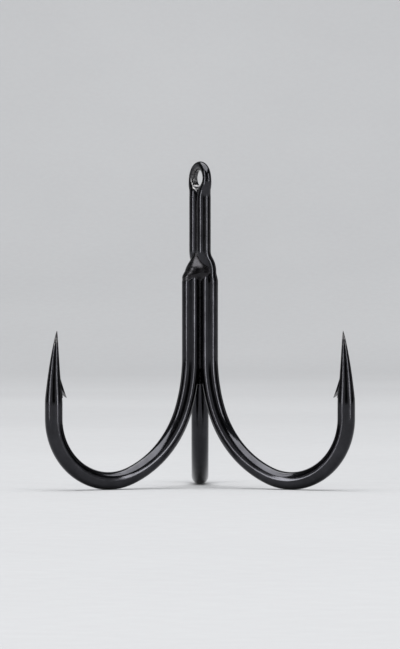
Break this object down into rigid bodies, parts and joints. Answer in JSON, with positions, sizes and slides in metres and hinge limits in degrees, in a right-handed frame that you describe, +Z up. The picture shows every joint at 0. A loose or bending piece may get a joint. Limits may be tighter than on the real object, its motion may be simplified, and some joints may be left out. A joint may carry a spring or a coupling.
{
  "type": "treble hook",
  "caption": "treble fishing hook: double and single hooks of black-plated round wire brazed shank to shank, barbed points, closed eye on top",
  "frame": {"origin": "centre of the eye, where the split ring or line pulls", "axes": "+Z up the shank with the eye on top and the points upwards, +Y along the eye's hole, the single hook's arm towards -Y and the double hook's two arms at 30 and 150 degrees round +Z from +X"},
  "size_m": [0.0156, 0.0136, 0.0167],
  "materials": {
    "double_wire": "glossy black chrome over steel wire",
    "single_wire": "glossy black chrome over steel wire",
    "braze": "black-plated brazing filler, slightly duller than the wire"
  },
  "bodies": {
    "root": {"double_hook": "double_wire", "single_hook": "single_wire", "braze": "braze"}
  },
  "joints": []
}
